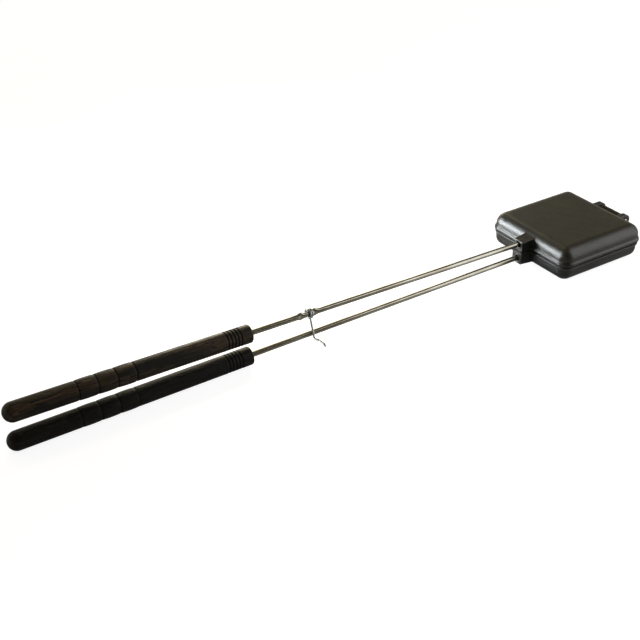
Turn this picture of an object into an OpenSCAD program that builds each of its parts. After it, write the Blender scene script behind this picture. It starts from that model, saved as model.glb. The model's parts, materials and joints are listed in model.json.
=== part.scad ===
// Campfire sandwich maker. Two square cast-iron pans close on each other round two slices of
// bread. Each pan has a long steel rod with a turned wooden handle. The pans hook together at
// the far end on a short pin, and a wire latch on the upper rod holds the lower rod.
// X runs from the handles to the hinge, Z is up, and the origin is the middle of the base.

/* [Head] */
// Outside width of the square head across the upper rim
head_w = 118; // [112:1:130]
// Height of each half, from the seam to its flat face
half_h = 18.6; // [17:0.2:22]
// Corner radius of the upper rim, seen from above
corner_r = 13; // [12:0.5:18]
// Thickness of the flat face of each half
face_t = 4.1; // [3:0.1:5]
// Radius of the big round between the flat face and the wall
face_r = 8.8; // [7:0.2:9]
// Lean of the outside wall, in degrees
wall_draft = 4; // [1:0.5:6]
// Height of the upper rim band
rim_h = 4.4; // [3.4:0.2:5.4]
// How far the upper rim stands out from the wall
rim_out = 2; // [1:0.1:2.4]
// Height of the lower rim band
low_rim_h = 3.2; // [2.4:0.2:4.4]
// How far the lower rim sits back from the upper rim
rim_step = 1.3; // [0.8:0.1:1.6]
// Width of the flat land round the cavity
land_w = 5.5; // [5:0.1:6]
// Lean of the cavity wall, in degrees
cavity_draft = 5; // [3:0.5:7]
// Radius of the bead that seals the bread
bead_r = 0.85; // [0.6:0.05:1]

/* [Sockets] */
// Width of the rod socket block
socket_w = 12.8; // [11:0.2:16]
// Height of each socket block from the seam
socket_h = 12.6; // [12.4:0.2:14]
// How far the socket block stands out from the upper rim
socket_out = 13; // [11:0.5:18]
// Height of the rod centre above or below the seam, at the socket face
rod_off = 8.2; // [7.8:0.1:8.6]

/* [Hinge] */
// Distance from the upper rim to the hinge pin
hinge_out = 10.3; // [9.5:0.1:12]
// Height of the hinge pin above the seam
hinge_up = 4.5; // [4.2:0.1:5]
// Diameter of the hinge pin
pin_d = 5; // [4.4:0.1:5.2]
// Width of the lug that carries the hinge pin
lug_w = 24; // [20:1:26]
// Distance between the middles of the two hooks
hook_gap = 36; // [35:1:40]
// Width of each hook
hook_w = 6.5; // [5:0.5:7]
// Outside radius of each hook
hook_r = 7.2; // [6.8:0.1:7.6]

/* [Rods] */
// Diameter of the steel rods
rod_d = 5.56; // [5:0.02:6]
// Angle at which the rods spread towards the handles
spread = 1.38; // [1.2:0.02:1.6]
// Length of rod between the socket and the handle
rod_free = 334; // [300:1:360]
// Depth of the rod inside its handle
rod_in_handle = 110; // [60:5:160]
// Diameter of the cross pins that hold the rods in their sockets
cross_pin_d = 2.5; // [2:0.1:3]

/* [Handles] */
// Diameter of the handles
handle_d = 18; // [15:0.5:20]
// Length of each handle
handle_l = 238; // [215:1:260]
// Distance from the front of the handle to the first fine groove
fine_at = 12; // [8:0.5:16]
// Distance between fine grooves
fine_pitch = 4; // [3:0.2:5]
// Distance from the front of the handle to the first wide ring
ring_at = 114.5; // [100:1:120]
// Distance between wide rings
ring_pitch = 18.7; // [16:0.1:20]

/* [Latch] */
// Diameter of the latch wire
wire_d = 2; // [1.8:0.1:2.2]
// Distance along the upper rod from the socket to the latch shank
latch_at = 265; // [250:1:280]
// Number of turns of wire round the rod
latch_turns = 3; // [2:1:4]
// Length of the straight part that goes under the lower rod
catch_l = 6.2; // [5:0.2:8]
// Length of the thumb tab after it
tab_l = 6.5; // [5:0.5:9]
// Length of the turned-down tip
tip_l = 2; // [1:0.2:3]

/* [Hidden] */
$fn = 64;
eps = 0.01;
half_w = head_w / 2;
corner_c = half_w - corner_r;
seam_z = half_h;

cavity_z = half_h - face_t;
cavity_r = 5;
bead_at = corner_r - land_w + 1.9;
bead_room = 0.4;

socket_x = -half_w - socket_out;
wall_mid = half_w - land_w + 1;
socket_l = -socket_x - wall_mid;
socket_hole_d = rod_d + 0.6;
socket_depth = 15.5;
socket_round = 1.2;

hinge_x = half_w + hinge_out;
hinge_z = seam_z + hinge_up;
hook_room = 0.3;
lug_r = 5.4;
pin_l = hook_gap + hook_w + 2;

rod_seat = 15;
cross_pin_in = 8;
cross_pin_l = rod_off + rod_d / 2 + 0.2;

// The lower rod runs so that its handle lies on the table that the head lies on
swell = 0.3;
swell_at = rod_free + ring_at + 1.5 * ring_pitch;
lower_rise = asin((handle_d / 2 + swell + 0.1 - seam_z + rod_off) / swell_at);
upper_rise = lower_rise + spread;

latch_room = 0.3;
coil_r = rod_d / 2 + latch_room + wire_d / 2;
coil_pitch = wire_d - 0.2;
rods_apart = 2 * rod_off + latch_at * (tan(upper_rise) - tan(lower_rise));
catch_z = -(rods_apart + rod_d / 2 + wire_d / 2 + 0.35);
bend_r = 2.5;
tab_bend = 20;
tip_bend = 40;
// Swing of the latch from hooked to hanging in front of the lower rod
latch_rest = -asin((2 * coil_r + 0.2) / rods_apart);
pinch_w = 1.6;
pinch_out = 1.5;
pinch_clear = 3.4;
pinch_play = 9;
pinch_r = rod_d / 2 + pinch_out;
pinch_near = latch_at - pinch_clear;
pinch_far = latch_at + coil_pitch * (latch_turns - 1) + pinch_play;

iron = "#34312d";
steel = "#b8b6ab";
zinc = "#9a9c9d";
wood = "#42302a";
dark_wood = "#2f231f";

// Corner piece that takes a round of radius r off a square corner at the origin
module round_off(r) {
    difference() {
        translate([-r, -r]) square(r + 1);
        translate([-r, -r]) circle(r);
    }
}

// Rim band of the wall profile, from the seam up, with its two outer edges eased
module rim_band(rim_r, band_h) {
    difference() {
        square([rim_r, band_h]);
        translate([rim_r, band_h]) round_off(1);
        translate([rim_r, 0]) mirror([0, 1]) round_off(0.4);
    }
}

// Outside of the wall profile. X is the distance from the corner centre, Y the height from
// the seam. The wall leans in from the rim to the big round, which ends on the flat face.
module wall_outline(rim_r, wall_r, band_h) {
    round_z = half_h - face_r;
    touch_z = round_z + face_r * sin(wall_draft);
    touch_r = wall_r - (touch_z - band_h) * tan(wall_draft);
    round_x = touch_r - face_r * cos(wall_draft);
    root_r = min(1.5, rim_r - wall_r);
    root_x = wall_r + root_r * (1 - sin(wall_draft)) / cos(wall_draft);
    root_z = band_h + root_r;
    intersection() {
        square([rim_r, half_h]);
        union() {
            rim_band(rim_r, band_h);
            polygon([[0, band_h - 1], [wall_r, band_h - 1], [wall_r, band_h], [touch_r, touch_z],
                     [round_x, round_z], [0, round_z]]);
            translate([round_x, round_z]) circle(face_r, $fn = 96);
            square([max(round_x, eps), half_h]);
            difference() {
                polygon([[wall_r - 0.5, band_h - 0.5], [root_x, band_h - 0.5], [root_x, root_z],
                         [root_x - root_r * cos(wall_draft), root_z - root_r * sin(wall_draft)],
                         [wall_r - 0.5, root_z - root_r * sin(wall_draft)]]);
                translate([root_x, root_z]) circle(root_r);
            }
        }
    }
}

// Cavity part of the wall profile, open at the seam
module cavity_outline() {
    side_r = corner_r - land_w;
    round_z = cavity_z - cavity_r;
    round_x = side_r - round_z * tan(cavity_draft) - cavity_r / cos(cavity_draft);
    touch = [round_x + cavity_r * cos(cavity_draft), round_z + cavity_r * sin(cavity_draft)];
    translate([round_x, round_z]) circle(cavity_r);
    polygon([[-cavity_r, -1], [side_r + tan(cavity_draft), -1], touch, [round_x, round_z],
             [round_x, cavity_z], [-cavity_r, cavity_z]]);
}

// One half of the head: a profile swept round the square, and the flat face inside it
module half_shell(rim_r, wall_r, band_h) {
    for (turn = [0 : 3]) rotate([0, 0, 90 * turn]) {
        translate([corner_c, 0, 0]) rotate([90, 0, 0])
            linear_extrude(2 * corner_c, center = true) wall_profile(rim_r, wall_r, band_h);
        translate([corner_c, corner_c, 0]) rotate_extrude(angle = 90)
            wall_profile(rim_r, wall_r, band_h);
    }
    translate([-corner_c, -corner_c, cavity_z]) cube([2 * corner_c, 2 * corner_c, face_t]);
}

// Wall section with its cavity, and the groove or the bead on the land
module wall_profile(rim_r, wall_r, band_h) {
    if (rim_r == corner_r) {
        difference() {
            wall_outline(rim_r, wall_r, band_h);
            cavity_outline();
            translate([bead_at, 0]) circle(bead_r + bead_room);
        }
    } else {
        difference() {
            wall_outline(rim_r, wall_r, band_h);
            cavity_outline();
        }
        translate([bead_at, 0]) circle(bead_r);
    }
}

// Socket block on the rim, with its top edges eased, standing on the seam. Near the seam it
// stops short of the bead's groove, so that the groove runs on behind it.
module socket_block() {
    groove_r = bead_r + bead_room + 0.2;
    difference() {
        translate([socket_x, 0, 0]) rotate([90, 0, 90]) linear_extrude(socket_l) difference() {
            translate([-socket_w / 2, 0]) square([socket_w, socket_h]);
            for (side = [0, 1]) mirror([side, 0])
                translate([socket_w / 2, socket_h]) round_off(socket_round);
        }
        translate([-corner_c - bead_at - groove_r, -socket_w, -1])
            cube([socket_l, 2 * socket_w, groove_r + 1]);
    }
}

// Puts its children at the mouth of a rod socket, with X along the rod
module at_socket(height, rise) {
    translate([socket_x, 0, height]) rotate([0, rise, 0]) children();
}

// Round bar along X, from one distance to another
module bar(from, to, r) {
    translate([from, 0, 0]) rotate([0, 90, 0]) cylinder(h = to - from, r = r);
}

// What is drilled out of a socket: the rod hole with a countersunk mouth
module socket_drilling() {
    bar(-3, socket_depth, socket_hole_d / 2);
    translate([-eps, 0, 0]) rotate([0, 90, 0])
        cylinder(h = 1, r1 = socket_hole_d / 2 + 0.6, r2 = socket_hole_d / 2);
}

// Side view of a hook: an arm from the wall, over the pin, round its outside and under it
module hook_outline() {
    room_r = pin_d / 2 + hook_room;
    wall_x = half_w - rim_out - 0.2;
    gusset = 2.4;
    difference() {
        union() {
            translate([hinge_x, hinge_up]) circle(hook_r);
            translate([wall_mid, hinge_up + room_r])
                square([hinge_x - wall_mid, hook_r - room_r]);
        }
        translate([hinge_x, hinge_up]) circle(room_r);
        translate([hinge_x - hook_r - 1, hinge_up - room_r]) square([hook_r + 1, 2 * room_r]);
        translate([hinge_x - hook_r - 1, hinge_up - hook_r - 1])
            square([hook_r - 3, hook_r + 1 + room_r]);
    }
    difference() {
        translate([wall_mid, hinge_up + room_r - gusset])
            square([wall_x + gusset - wall_mid, gusset + 0.5]);
        translate([wall_x + gusset, hinge_up + room_r - gusset]) circle(gusset);
        translate([wall_x + gusset, hinge_up + room_r - gusset - 1]) square([2, gusset + 1]);
    }
}

// Side view of the lug that carries the hinge pin, standing clear of the upper rim
module lug_outline() {
    translate([hinge_x, hinge_up]) circle(lug_r);
    polygon([[wall_mid, -1.2], [hinge_x - lug_r - 1.3, -1.2], [hinge_x - lug_r, hinge_up],
             [hinge_x + lug_r, hinge_up], [hinge_x + lug_r - 0.5, hinge_up - 3.6],
             [hinge_x - 1.5, -10.4], [wall_mid, -12]]);
}

// Upper half: shell, socket block and two hooks
module upper_casting() {
    color(iron) difference() {
        union() {
            translate([0, 0, seam_z]) half_shell(corner_r, corner_r - rim_out, rim_h);
            translate([0, 0, seam_z]) socket_block();
            for (side = [-1, 1]) translate([0, side * hook_gap / 2, seam_z]) rotate([90, 0, 0])
                linear_extrude(hook_w, center = true) hook_outline();
        }
        at_socket(seam_z + rod_off, upper_rise) socket_drilling();
        translate([socket_x + cross_pin_in, 0, seam_z - eps])
            cylinder(h = cross_pin_l + eps, d = cross_pin_d);
    }
}

// Lower half: shell turned over, socket block and the hinge lug
module lower_casting() {
    color(iron) difference() {
        union() {
            translate([0, 0, seam_z]) mirror([0, 0, 1])
                half_shell(corner_r - rim_step, corner_r - rim_out - 0.1, low_rim_h);
            translate([0, 0, seam_z]) mirror([0, 0, 1]) socket_block();
            translate([0, 0, seam_z]) rotate([90, 0, 0])
                linear_extrude(lug_w, center = true) lug_outline();
        }
        at_socket(seam_z - rod_off, lower_rise) socket_drilling();
        translate([socket_x + cross_pin_in, 0, seam_z - cross_pin_l])
            cylinder(h = cross_pin_l + eps, d = cross_pin_d);
        translate([hinge_x, 0, hinge_z]) rotate([90, 0, 0])
            cylinder(h = lug_w + 2, d = pin_d, center = true);
    }
}

// Steel pin that the hooks turn on, with chamfered ends
module hinge_pin() {
    chamfer = 0.5;
    color(steel) translate([hinge_x, 0, hinge_z]) rotate([90, 0, 0]) {
        cylinder(h = pin_l - 2 * chamfer, d = pin_d, center = true);
        for (side = [0, 1]) mirror([0, 0, side]) translate([0, 0, pin_l / 2 - chamfer])
            cylinder(h = chamfer, d1 = pin_d, d2 = pin_d - 2 * chamfer);
    }
}

// Straight rod along X, its seat at +X, with a cross hole for the pin in its socket.
// The cross hole is upright, so it leans against the rod by the rod's rise.
module rod(rise) {
    difference() {
        bar(-rod_free - rod_in_handle, rod_seat, rod_d / 2);
        translate([cross_pin_in / cos(rise), 0, 0]) rotate([0, -rise, 0])
            cylinder(h = 3 * rod_d, d = cross_pin_d, center = true);
    }
}

// Flat ears pinched out of the rod above and below, at a distance from the socket
module pinch(at) {
    translate([-at, 0, 0]) rotate([90, 0, 0]) cylinder(h = pinch_w, r = pinch_r, center = true);
}

module upper_rod() {
    color(steel) at_socket(seam_z + rod_off, upper_rise) {
        rod(upper_rise);
        pinch(pinch_near);
        pinch(pinch_far);
    }
}

module lower_rod() {
    color(steel) at_socket(seam_z - rod_off, lower_rise) rod(lower_rise);
}

// Pin driven in from the seam, through the rod. It ends a little under the seam face.
module upper_cross_pin() {
    color(zinc) translate([socket_x + cross_pin_in, 0, seam_z + 0.3])
        cylinder(h = cross_pin_l - 0.3, d = cross_pin_d);
}

module lower_cross_pin() {
    color(zinc) translate([socket_x + cross_pin_in, 0, seam_z - cross_pin_l])
        cylinder(h = cross_pin_l - 0.3, d = cross_pin_d);
}

// Turned profile of a handle: X is the radius, Y the distance from its front face
module handle_outline() {
    r = handle_d / 2;
    swell_r = (ring_pitch * ring_pitch) / (8 * swell);
    difference() {
        union() {
            square([r, handle_l - r]);
            intersection() {
                translate([0, handle_l - r]) circle(r, $fn = 96);
                translate([0, handle_l - r - eps]) square([r, r + 1]);
            }
            for (n = [0 : 2]) intersection() {
                translate([r + swell - swell_r, ring_at + (n + 0.5) * ring_pitch])
                    circle(swell_r, $fn = 720);
                translate([0, ring_at + n * ring_pitch]) square([r + 1, ring_pitch]);
            }
        }
        translate([0, -1]) square([rod_d / 2, rod_in_handle + 1]);
        translate([r, 0]) mirror([0, 1]) round_off(1.2);
        for (n = [0 : 4]) translate([r + 0.4, fine_at + n * fine_pitch]) circle(0.85, $fn = 32);
        for (n = [0 : 3]) translate([r + 1.5, ring_at + n * ring_pitch]) circle(2.1, $fn = 32);
    }
}

module handle() {
    translate([-rod_free, 0, 0]) rotate([0, -90, 0]) rotate_extrude() handle_outline();
}

module upper_handle() {
    color(wood) at_socket(seam_z + rod_off, upper_rise) handle();
}

module lower_handle() {
    color(dark_wood) at_socket(seam_z - rod_off, lower_rise) handle();
}

// Arc of wire in the YZ plane about the origin, from one angle to another
module wire_arc(r, from, to) {
    rotate([90, 0, 90]) rotate([0, 0, from]) rotate_extrude(angle = to - from)
        translate([r, 0]) circle(d = wire_d, $fn = 32);
}

// Straight wire, down from the origin. It is a hair thicker than the bends and runs a little
// into them, so that the lengths join as one wire.
module wire_down(l) {
    lap = 0.05;
    translate([0, 0, -l - lap]) cylinder(h = l + 2 * lap, d = wire_d + 0.04, $fn = 32);
}

// Bend towards -Y by some degrees, then a straight length, then the rest
module bend_on(r, turn, l) {
    translate([0, -r, 0]) {
        wire_arc(r, -turn, 0);
        rotate([-turn, 0, 0]) translate([0, r, 0]) {
            wire_down(l);
            translate([0, 0, -l]) children();
        }
    }
}

// Bend the other way, back towards +Y
module bend_back(r, turn, l) {
    translate([0, r, 0]) {
        wire_arc(r, 180, 180 + turn);
        rotate([turn, 0, 0]) translate([0, -r, 0]) {
            wire_down(l);
            translate([0, 0, -l]) children();
        }
    }
}

// Latch as it hooks the lower rod, about the upper rod's axis: coil, shank, catch, tab, tip
module latch_wire() {
    for (n = [1 : latch_turns - 1]) translate([-n * coil_pitch, 0, 0]) wire_arc(coil_r, 0, 360);
    wire_arc(coil_r, 0, 300);
    translate([0, coil_r, 0]) {
        wire_down(-catch_z - bend_r);
        translate([0, 0, catch_z + bend_r]) bend_on(bend_r, 90, catch_l)
            bend_back(3, tab_bend, tab_l) bend_back(2.5, tip_bend, tip_l);
    }
}

module latch() {
    color(zinc) at_socket(seam_z + rod_off, upper_rise) translate([-latch_at, 0, 0])
        rotate([latch_rest, 0, 0]) latch_wire();
}

upper_casting();
lower_casting();
hinge_pin();
upper_rod();
lower_rod();
upper_cross_pin();
lower_cross_pin();
upper_handle();
lower_handle();
latch();
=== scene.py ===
# %% [markdown]
# # A campfire sandwich maker
# Two cast-iron pans, two plated steel rods, two turned wooden handles and one wire latch.
# The CAD model fixes the joints and nearly every size. This lesson adds the real thing's looks:
# the casting's soft corners and sandy skin, drawn steel, and stained wood with open grain.
# Each step says what the piece is on the real object, how it could be made, and what was chosen.

# %% Load the CAD frame
import json
import math

import bmesh
import bpy
import numpy as np
import openvdb
from mathutils import Matrix, Vector

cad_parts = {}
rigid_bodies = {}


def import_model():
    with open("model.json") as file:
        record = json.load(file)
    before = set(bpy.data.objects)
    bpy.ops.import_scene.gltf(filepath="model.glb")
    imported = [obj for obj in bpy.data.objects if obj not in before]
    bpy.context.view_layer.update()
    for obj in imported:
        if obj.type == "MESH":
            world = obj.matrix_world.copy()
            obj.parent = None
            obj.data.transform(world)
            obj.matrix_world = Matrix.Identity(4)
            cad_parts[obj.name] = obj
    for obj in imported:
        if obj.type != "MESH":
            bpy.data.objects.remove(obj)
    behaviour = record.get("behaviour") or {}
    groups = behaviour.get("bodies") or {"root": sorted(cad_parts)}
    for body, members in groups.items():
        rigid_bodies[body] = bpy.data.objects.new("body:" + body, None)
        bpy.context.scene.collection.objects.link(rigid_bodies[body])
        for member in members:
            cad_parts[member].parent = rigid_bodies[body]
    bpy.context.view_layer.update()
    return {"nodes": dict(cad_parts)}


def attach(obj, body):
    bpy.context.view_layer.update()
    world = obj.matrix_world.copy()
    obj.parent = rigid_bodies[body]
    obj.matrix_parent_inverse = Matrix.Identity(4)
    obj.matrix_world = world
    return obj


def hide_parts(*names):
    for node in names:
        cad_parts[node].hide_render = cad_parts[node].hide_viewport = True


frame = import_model()
MM = 0.001
print("CAD nodes:", ", ".join(sorted(frame["nodes"])))

# %% [markdown]
# ## The camera
# The photograph looks down on the object from the handles' side, a little from the right.
# The lens and the camera's place were worked out from the outline of the rods and of the head.
# A camera looks along its own -Z, so its turn is a matrix of three columns: right, up, back.

# %% Camera
SEAM_CENTRE = Vector((0, 0, 18.6))
AZIMUTH, ELEVATION, ROLL = math.radians(-34.177), math.radians(32.301), math.radians(0.195)
FOCAL_PIXELS, DEPTH = 1146.56, 1262.76
PICTURE_PIXELS = 640
SEAM_PIXEL, MIDDLE_PIXEL = (565.9, 233.5), PICTURE_PIXELS / 2

back = Vector((math.sin(AZIMUTH) * math.cos(ELEVATION),
               -math.cos(AZIMUTH) * math.cos(ELEVATION), math.sin(ELEVATION)))
level = Vector((math.cos(AZIMUTH), math.sin(AZIMUTH), 0))
upright = back.cross(level)
right = level * math.cos(ROLL) + upright * math.sin(ROLL)
up = upright * math.cos(ROLL) - level * math.sin(ROLL)

sideways = (SEAM_PIXEL[0] - MIDDLE_PIXEL) / FOCAL_PIXELS * DEPTH
upwards = (MIDDLE_PIXEL - SEAM_PIXEL[1]) / FOCAL_PIXELS * DEPTH
eye = SEAM_CENTRE - sideways * right - upwards * up + DEPTH * back

camera = bpy.data.objects.new("camera", bpy.data.cameras.new("camera"))
bpy.context.scene.collection.objects.link(camera)
camera.data.sensor_width = 36
camera.data.lens = FOCAL_PIXELS / PICTURE_PIXELS * camera.data.sensor_width
camera.data.clip_start, camera.data.clip_end = 0.01, 100
turn = Matrix((right, up, back)).transposed().to_4x4()
camera.matrix_world = Matrix.Translation(eye * MM) @ turn
bpy.context.scene.camera = camera
print(f"camera at {[round(v) for v in eye]} mm, lens {camera.data.lens:.1f} mm")

# %% [markdown]
# ## Helpers for nodes
# A finish is a graph of nodes. Written out in full it takes pages, so a few short helpers
# keep it readable: `add` makes a node and feeds its inputs, with a number, a colour or
# another node's output, and the others are for the kinds of node that come up most.

# %% Node helpers
def add(tree, kind, inputs=None, **settings):
    node = tree.nodes.new(kind)
    for name, value in settings.items():
        setattr(node, name, value)
    for name, value in (inputs or {}).items():
        socket = node.inputs[name]
        if isinstance(value, bpy.types.NodeSocket):
            tree.links.new(value, socket)
        else:
            socket.default_value = value
    return node


def maths(tree, operation, a, b=0.5, c=0.5, clamp=False):
    inputs = {0: a, 1: b, 2: c}
    return add(tree, "ShaderNodeMath", inputs, operation=operation, use_clamp=clamp).outputs[0]


def ramp(tree, value, low, high, to_low=0.0, to_high=1.0, smooth=False):
    inputs = {"Value": value, "From Min": low, "From Max": high,
              "To Min": to_low, "To Max": to_high}
    kind = "SMOOTHSTEP" if smooth else "LINEAR"
    return add(tree, "ShaderNodeMapRange", inputs, interpolation_type=kind).outputs["Result"]


def mix(tree, factor, a, b, blend="MIX"):
    node = add(tree, "ShaderNodeMix", data_type="RGBA", blend_type=blend)
    for index, value in ((0, factor), (6, a), (7, b)):
        if isinstance(value, bpy.types.NodeSocket):
            tree.links.new(value, node.inputs[index])
        else:
            node.inputs[index].default_value = value
    return node.outputs[2]


def noise(tree, place, scale, detail=3.0, roughness=0.5):
    inputs = {"Vector": place, "Scale": scale, "Detail": detail, "Roughness": roughness}
    return add(tree, "ShaderNodeTexNoise", inputs).outputs["Fac"]


print("node helpers: add, maths, ramp, mix, noise")

# %% [markdown]
# ## Helpers for groups, materials and colours
# An effect that more than one finish could use goes into a node group with named sockets.
# `new_group` starts one and `put` places it in a material. Colours are written as a picture
# editor shows them, because that is how they were judged against the photograph.

# %% Groups, materials and colours
FLOAT, VECTOR = "NodeSocketFloat", "NodeSocketVector"


def new_group(name, inputs, outputs):
    tree = bpy.data.node_groups.new(name, "ShaderNodeTree")
    for label, kind, value in inputs:
        socket = tree.interface.new_socket(label, in_out="INPUT", socket_type=kind)
        if value is not None:
            socket.default_value = value
    for label, kind in outputs:
        tree.interface.new_socket(label, in_out="OUTPUT", socket_type=kind)
    return tree, tree.nodes.new("NodeGroupInput").outputs, tree.nodes.new("NodeGroupOutput")


def new_material(name):
    material = bpy.data.materials.new(name)
    material.use_nodes = True
    shader = material.node_tree.nodes["Principled BSDF"]
    place = add(material.node_tree, "ShaderNodeTexCoord").outputs["Object"]
    return material, material.node_tree, shader, place


def rgb(red, green, blue):
    """A colour as a picture editor shows it, from 0 to 255, turned into Blender's linear one."""
    share = [v / 255 for v in (red, green, blue)]
    line = [v / 12.92 if v < 0.04045 else ((v + 0.055) / 1.055) ** 2.4 for v in share]
    return (*line, 1.0)


def put(tree, group, **inputs):
    """Places a shader group in a material. A name's underscores stand for spaces."""
    node = add(tree, "ShaderNodeGroup", node_tree=group)
    for name, value in inputs.items():
        socket = node.inputs[name.replace("_", " ")]
        if isinstance(value, bpy.types.NodeSocket):
            tree.links.new(value, socket)
        else:
            socket.default_value = value
    return node.outputs


print("a middle grey of 128 is", round(rgb(128, 128, 128)[0], 3), "in linear light")

# %% [markdown]
# ## Shared effect: the skin of a sand casting
# Iron poured into sand keeps the print of the grains: bumps well under a millimetre across,
# over slow lumps, with a few pits. A picture of it could be used, but it would stretch at the
# corners. Noise in the object's own space has no seams, so it is used here. Everything is
# tied to the grain: lumps are about 3 grains across, pits too, and patches of tone about 40.

# %% Group: sand cast skin
sand_skin, given, out = new_group(
    "sand_skin",
    [("Place", VECTOR, None), ("Grain size", FLOAT, 0.0008), ("Pits", FLOAT, 0.5)],
    [("Height", FLOAT), ("Mottle", FLOAT)])
per_grain = maths(sand_skin, "DIVIDE", 1.0, given["Grain size"])
grains = noise(sand_skin, given["Place"], per_grain, detail=2.0, roughness=0.6)
per_lump = maths(sand_skin, "MULTIPLY", per_grain, 0.37)
lumps = noise(sand_skin, given["Place"], per_lump, detail=2.0)
per_pit = maths(sand_skin, "MULTIPLY", per_grain, 0.3)
cells = add(sand_skin, "ShaderNodeTexVoronoi",
            {"Vector": given["Place"], "Scale": per_pit}).outputs["Distance"]
pits = maths(sand_skin, "MULTIPLY", ramp(sand_skin, cells, 0.2, 0.0), given["Pits"])
height = maths(sand_skin, "MULTIPLY_ADD", lumps, 0.12, grains)
sand_skin.links.new(maths(sand_skin, "SUBTRACT", height, pits), out.inputs["Height"])
per_patch = maths(sand_skin, "MULTIPLY", per_grain, 0.026)
sand_skin.links.new(noise(sand_skin, given["Place"], per_patch, detail=4.0, roughness=0.62),
                    out.inputs["Mottle"])
print("sand skin:", len(sand_skin.nodes), "nodes")

# %% [markdown]
# ## Finish: seasoned cast iron
# The pans are black from oil that was baked on. The coat is satin, browner where it is thick,
# and the sand skin shows through it as fine bumps. Two marks come with the mesh: bend says
# how proud a point stands, so that edges are rubbed lighter, and hollows are painted darker,
# partly as soot and partly as painted shade. Seam says how near a point is to the line where
# the pans meet, which is a painted shade line.

# %% Material: seasoned iron
iron, tree, shader, place = new_material("seasoned_iron")
skin = put(tree, sand_skin, Place=place, Grain_size=0.0012, Pits=0.5)
patches = ramp(tree, skin["Mottle"], 0.35, 0.68, smooth=True)
colour = mix(tree, patches, rgb(20, 20, 18), rgb(32, 29, 20))
bend = add(tree, "ShaderNodeAttribute", attribute_name="bend").outputs["Fac"]
worn = ramp(tree, bend, 0.4, 1.6, smooth=True)
colour = mix(tree, worn, colour, rgb(58, 56, 52))
seam = add(tree, "ShaderNodeAttribute", attribute_name="seam").outputs["Fac"]
# Painted shade: hollows, partly soot, and the line along the seam are painted darker, as if shade
# fell there.
soot_and_painted_shade = maths(tree, "MAXIMUM", ramp(tree, bend, -0.3, -1.2, smooth=True), seam)
colour = mix(tree, soot_and_painted_shade, colour, rgb(9, 9, 8))
tree.links.new(colour, shader.inputs["Base Color"])
satin = ramp(tree, skin["Mottle"], 0.3, 0.7, 0.36, 0.28)
tree.links.new(maths(tree, "MULTIPLY_ADD", soot_and_painted_shade, 0.45, satin), shader.inputs["Roughness"])
bump = add(tree, "ShaderNodeBump", {"Height": skin["Height"], "Strength": 0.9,
                                    "Distance": 0.0004})
tree.links.new(bump.outputs["Normal"], shader.inputs["Normal"])
shader.inputs["Specular IOR Level"].default_value = 0.55
print("seasoned iron:", len(tree.nodes), "nodes")

# %% [markdown]
# ## The pans as distance fields
# A casting has no sharp inner corner: iron would crack there, so the pattern maker leaves a
# fillet at every join. Bevels on a mesh of joined boxes are hard to keep clean. A distance
# field does it in one line: it is a function that gives, at any point, the distance to the
# surface, negative inside. Two forms join with a round between them when the smaller distance
# is taken softly. The surface is then where the field is zero.

# %% Joining forms with rounds
def both(a, b, r=0.0):
    """What is inside both forms, with its new edges rounded by r."""
    if not r:
        return np.maximum(a, b)
    corner = np.hypot(np.maximum(a + r, 0), np.maximum(b + r, 0))
    return np.minimum(-r, np.maximum(a, b)) + corner


def either(a, b, r=0.0):
    """What is inside one form or the other, with a fillet of radius r between them."""
    return -both(-a, -b, r)


def outline(corners, x, y):
    """Distance to a closed flat outline, negative inside."""
    x, y = np.broadcast_arrays(x, y)
    least, inside = np.full(x.shape, 1e9), np.zeros(x.shape, bool)
    for (x0, y0), (x1, y1) in zip(corners, corners[-1:] + corners[:-1]):
        run, climb = x1 - x0, y1 - y0
        share = ((x - x0) * run + (y - y0) * climb) / (run * run + climb * climb)
        share = np.clip(share, 0, 1)
        least = np.minimum(least, np.hypot(x - x0 - share * run, y - y0 - share * climb))
        if climb:
            inside ^= ((y >= y0) != (y >= y1)) & (x < x0 + (y - y0) * run / climb)
    return np.where(inside, -least, least)


print("half a millimetre inside two walls, with their edge rounded by 1 mm:",
      round(float(both(-0.5, -0.5, 1.0)), 3))


# %% [markdown]
# ## One pan, from the outside in
# Sizes are in millimetres. Most are the CAD's, and a few were drawn finer after the
# photograph: the upper pan is half a millimetre taller, and its rim flares over the seam.
# `u` is the distance outside the square that joins the four corner centres, so one wall
# section in `u` and `h` sweeps round the whole pan by itself. `h` is the distance from the
# seam. The order is the foundry's: body, rim and socket block first, then the face is cut at
# the seam, and the hollow, the bead and the holes come last.

# %% Sizes of the head
SEAM, CORNER_CENTRE = 18.6, 46.0
# Height from the seam to the face, and the big round between the face and the wall
TALL = {"upper": (19.1, 11.2), "lower": (18.6, 8.8)}
# Reach of the rim in u, reach of the wall at its foot, and height of the rim
RIM = {"upper": (13.0, 11.6, 4.4), "lower": (11.9, 10.9, 3.6)}
WALL_DRAFT, FLARE_LEAN, FLARE_H, FLARE_TOP = math.radians(4), math.radians(50), 3.4, 9.5
REBATE_U, REBATE_H = 10.5, 2.0
# Socket block: height over the seam, half width at its face, how it grows, where it ends
BLOCK = {"upper": 12.9, "lower": 13.9}
BLOCK_HALF, BLOCK_GROWS, BLOCK_END = 6.8, 0.06, 52.0
CAVITY_U, CAVITY_DEEP, CAVITY_ROUND, CAVITY_DRAFT = 7.5, 14.5, 5, math.radians(5)
BEAD_U, BEAD_R, GROOVE_R = 9.4, 0.85, 1.25
SOCKET_FACE, ROD_UP = -72.0, {"upper": 8.2, "lower": -8.2}
BORE_R, BORE_MOUTH, BORE_DEEP = 3.08, 3.68, 15.5
CROSS_X, CROSS_R, CROSS_DEEP = 64, 1.25, 11.2
WAVE = 0.03
RISE = {"upper": math.radians(1.2598), "lower": math.radians(-0.1202)}
HINGE_X, HINGE_UP, PIN_R = 69.3, 4.5, 2.5
print("closed, the head is", round(SEAM + TALL["upper"][0], 2), "mm high")


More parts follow.
